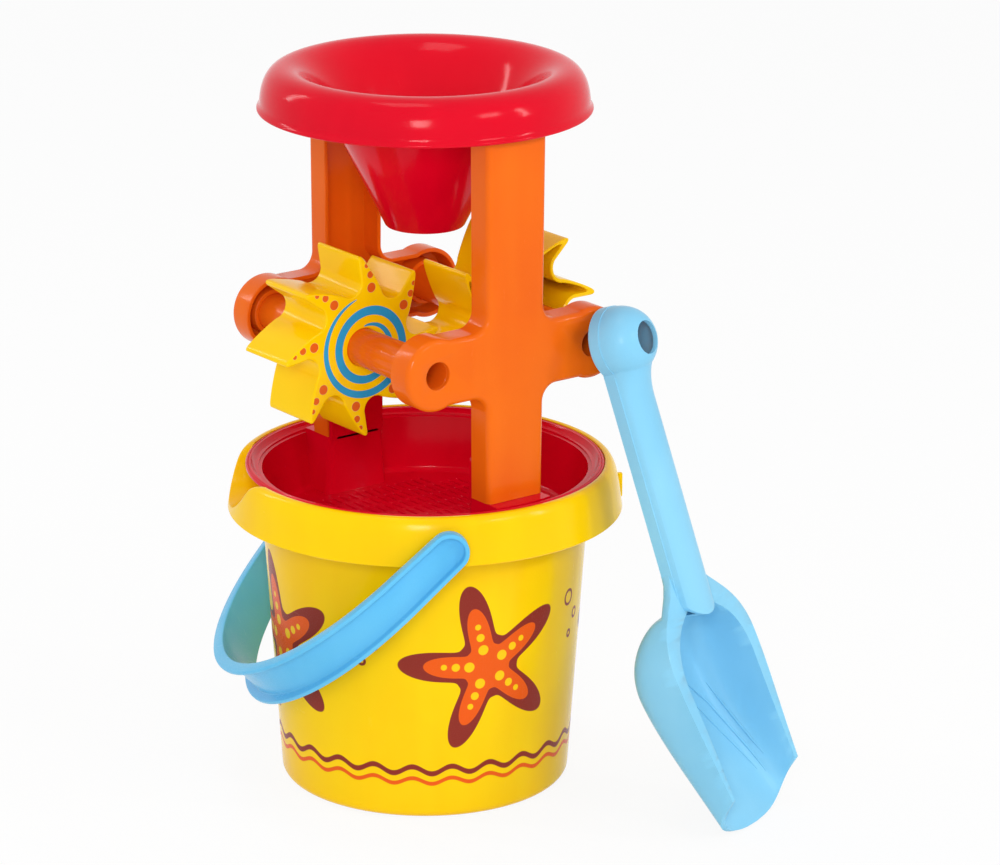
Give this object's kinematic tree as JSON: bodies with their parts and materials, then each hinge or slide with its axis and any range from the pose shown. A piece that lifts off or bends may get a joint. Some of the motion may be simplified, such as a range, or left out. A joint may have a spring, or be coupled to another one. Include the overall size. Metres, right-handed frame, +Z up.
{
  "type": "sand wheel toy",
  "caption": "Beach toy: a bucket with a swinging bail carries a sieve tray, two cross-shaped frames with spinning sand wheels and a funnel, with a small shovel leaning on the front frame.",
  "frame": {"origin": "the middle of the bucket's foot, on the ground and on the axis of the tower", "axes": "+Z up along the tower's axis; the wheel axles run along Y with the frame that the shovel leans on towards -Y; the arms of both frames run along X"},
  "size_m": [0.209, 0.2646, 0.333],
  "materials": {
    "yellow_plastic": "glossy moulded",
    "orange_plastic": "glossy moulded",
    "red_plastic": "glossy moulded",
    "blue_plastic": "glossy moulded"
  },
  "bodies": {
    "bucket": {"bucket": "yellow_plastic"},
    "bail": {"bail_handle": "blue_plastic"},
    "mill": {"sieve_tray": "red_plastic", "front_frame": "orange_plastic", "back_frame": "orange_plastic", "left_axle": "orange_plastic", "right_axle": "orange_plastic"},
    "funnel": {"funnel": "red_plastic"},
    "left_wheel": {"left_wheel": "yellow_plastic"},
    "right_wheel": {"right_wheel": "yellow_plastic"},
    "shovel": {"shovel": "blue_plastic"}
  },
  "joints": [
    {"name": "bail_swing", "type": "hinge", "parent": "bucket", "child": "bail", "pos_m": [0, 0, 0.137], "axis": [0.5, 0.866, 0], "range_deg": [-4, 76]},
    {"name": "mill_lift", "type": "slide", "parent": "bucket", "child": "mill", "axis": [0, 0, 1], "range_m": [0, 0.12]},
    {"name": "funnel_lift", "type": "slide", "parent": "mill", "child": "funnel", "axis": [0, 0, 1], "range_m": [0, 0.09]},
    {"name": "left_wheel_spin", "type": "hinge", "parent": "mill", "child": "left_wheel", "pos_m": [-0.043, 0, 0.213], "axis": [0, 1, 0], "continuous": true},
    {"name": "right_wheel_spin", "type": "hinge", "parent": "mill", "child": "right_wheel", "pos_m": [0.043, 0, 0.213], "axis": [0, 1, 0], "continuous": true},
    {"name": "shovel_lift", "type": "slide", "parent": "bucket", "child": "shovel", "axis": [0, -1, 0], "range_m": [0, 0.15]}
  ]
}
